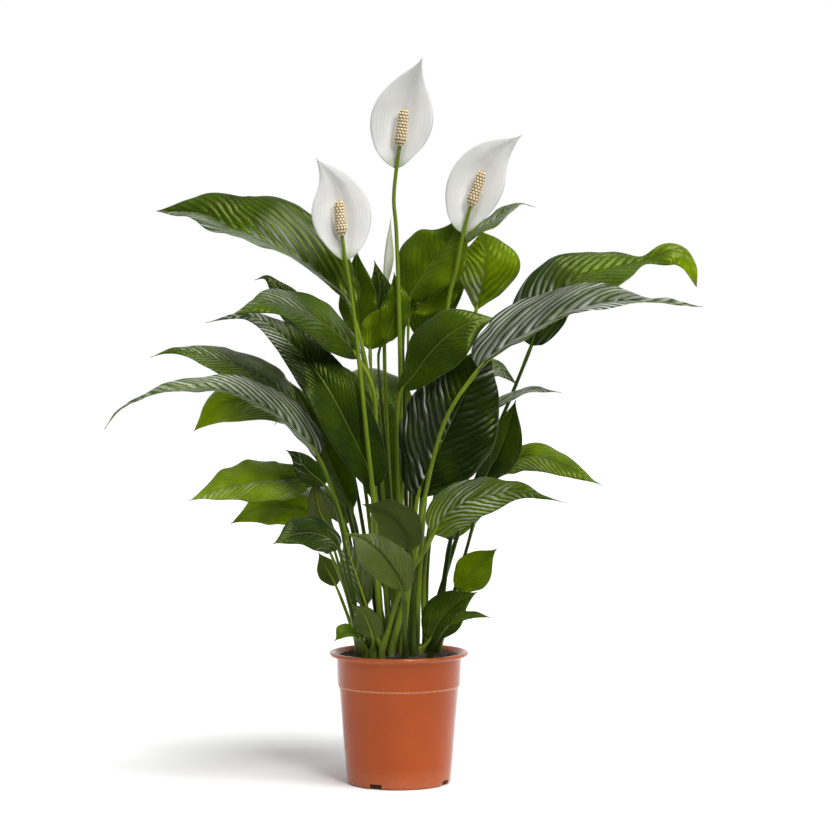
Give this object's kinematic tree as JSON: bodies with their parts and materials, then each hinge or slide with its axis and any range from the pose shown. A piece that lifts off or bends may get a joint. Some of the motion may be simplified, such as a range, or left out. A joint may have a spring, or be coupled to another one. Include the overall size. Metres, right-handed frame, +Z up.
{
  "type": "potted peace lily",
  "caption": "Leafy flowering house plant with white hooded blooms, standing in soil in a round tapered plastic nursery pot.",
  "frame": {"origin": "middle of the pot's base, on the surface it stands on", "axes": "+Z up the plant; -Y towards the side that was pictured; +X to the right seen from there"},
  "size_m": [0.7161, 0.4583, 0.8852],
  "materials": {
    "pot": "smooth moulded terracotta-coloured plastic with a soft shine",
    "soil": "coarse dark peat potting soil with bark and fibre",
    "leaf": "glossy green leaf with sunken side veins and a paler underside",
    "flower_stalk": "smooth yellow-green stalk",
    "spathe": "thin matt white hood with fine veins, greenish at its base and tip",
    "spadix": "cream rod covered in small knobbly florets"
  },
  "bodies": {
    "root": {"pot": "pot", "soil": "soil", "leaf_left_1": "leaf", "leaf_left_2": "leaf", "leaf_left_3": "leaf", "leaf_left_4": "leaf", "leaf_left_5": "leaf", "leaf_left_6": "leaf", "leaf_left_7": "leaf", "leaf_left_8": "leaf", "leaf_left_9": "leaf", "leaf_left_10": "leaf", "leaf_left_11": "leaf", "leaf_left_12": "leaf", "leaf_left_13": "leaf", "leaf_left_14": "leaf", "leaf_inner_1": "leaf", "leaf_inner_2": "leaf", "leaf_right_1": "leaf", "leaf_right_2": "leaf", "leaf_right_3": "leaf", "leaf_right_4": "leaf", "leaf_right_5": "leaf", "leaf_right_6": "leaf", "leaf_right_7": "leaf", "leaf_right_8": "leaf", "leaf_right_9": "leaf", "leaf_right_10": "leaf", "leaf_right_11": "leaf", "leaf_mid_1": "leaf", "leaf_mid_2": "leaf", "leaf_top_1": "leaf", "leaf_top_2": "leaf", "leaf_top_3": "leaf", "leaf_top_4": "leaf", "leaf_top_5": "leaf", "leaf_top_6": "leaf", "leaf_top_7": "leaf", "leaf_front_1": "leaf", "leaf_front_2": "leaf", "leaf_front_3": "leaf", "leaf_front_4": "leaf", "leaf_back_1": "leaf", "leaf_back_2": "leaf", "leaf_back_3": "leaf", "leaf_back_4": "leaf", "leaf_back_5": "leaf", "leaf_back_6": "leaf", "leaf_back_7": "leaf", "bloom_left_stalk": "flower_stalk", "bloom_left_spathe": "spathe", "bloom_left_spadix": "spadix", "bloom_top_stalk": "flower_stalk", "bloom_top_spathe": "spathe", "bloom_top_spadix": "spadix", "bloom_right_stalk": "flower_stalk", "bloom_right_spathe": "spathe", "bloom_right_spadix": "spadix", "bloom_bud_stalk": "flower_stalk", "bloom_bud_spathe": "spathe"}
  },
  "joints": []
}
